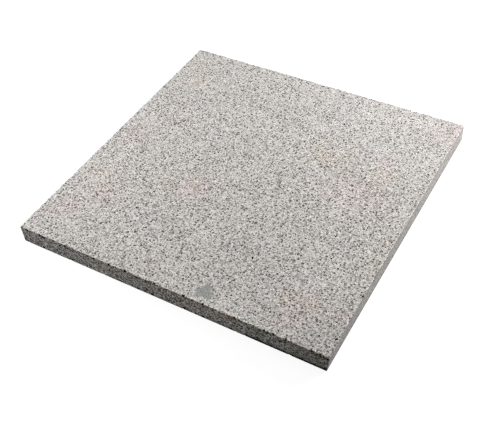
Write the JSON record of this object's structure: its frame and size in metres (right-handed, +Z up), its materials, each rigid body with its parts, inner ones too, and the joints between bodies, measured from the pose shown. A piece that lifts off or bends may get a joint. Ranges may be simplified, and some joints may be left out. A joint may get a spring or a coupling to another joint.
{
  "type": "granite slab",
  "caption": "Square slab of light grey granite with a rough flamed top face, sawn sides and underside, used flat as a solid work surface or paver.",
  "frame": {"origin": "centre of the underside, on the surface that the slab rests on", "axes": "+Z up through the thickness, out of the flamed top face; +X and +Y along two neighbouring sides of the square"},
  "size_m": [0.5, 0.5, 0.032],
  "materials": {
    "granite": "matte"
  },
  "bodies": {
    "root": {"granite_slab": "granite"}
  },
  "joints": []
}
